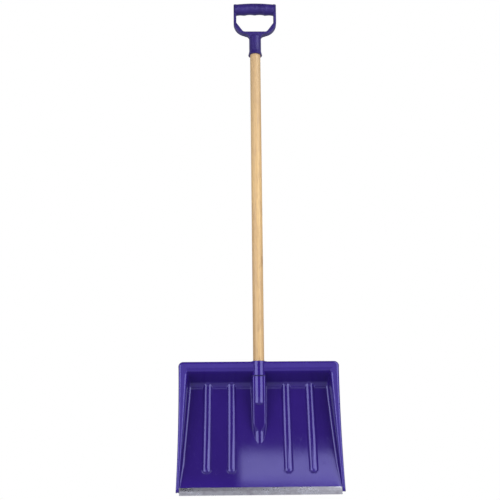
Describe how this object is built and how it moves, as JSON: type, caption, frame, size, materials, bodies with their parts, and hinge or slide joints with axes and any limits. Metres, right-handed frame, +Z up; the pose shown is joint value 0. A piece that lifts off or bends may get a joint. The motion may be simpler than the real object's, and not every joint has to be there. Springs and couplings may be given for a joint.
{
  "type": "snow shovel",
  "caption": "Snow shovel with a ribbed plastic scoop blade, an aluminium wear edge, a straight round wooden shaft and a plastic D-grip.",
  "frame": {"origin": "on the ground, at the middle of the footprint of the upright shovel", "axes": "+Z up along the shaft, -Y towards the load side of the blade, X across the blade"},
  "size_m": [0.4004, 0.0912, 1.305],
  "materials": {
    "blade_plastic": "glossy moulded polypropylene, indigo blue",
    "grip_plastic": "satin moulded polypropylene, indigo blue",
    "shaft_wood": "sanded hardwood with a thin clear coat",
    "edge_aluminium": "extruded, lightly scuffed",
    "screw_steel": "zinc plated"
  },
  "bodies": {
    "root": {"blade": "blade_plastic", "wear_edge": "edge_aluminium", "shaft": "shaft_wood", "grip": "grip_plastic", "grip_screw": "screw_steel", "socket_screw_upper": "screw_steel", "socket_screw_lower": "screw_steel"}
  },
  "joints": []
}
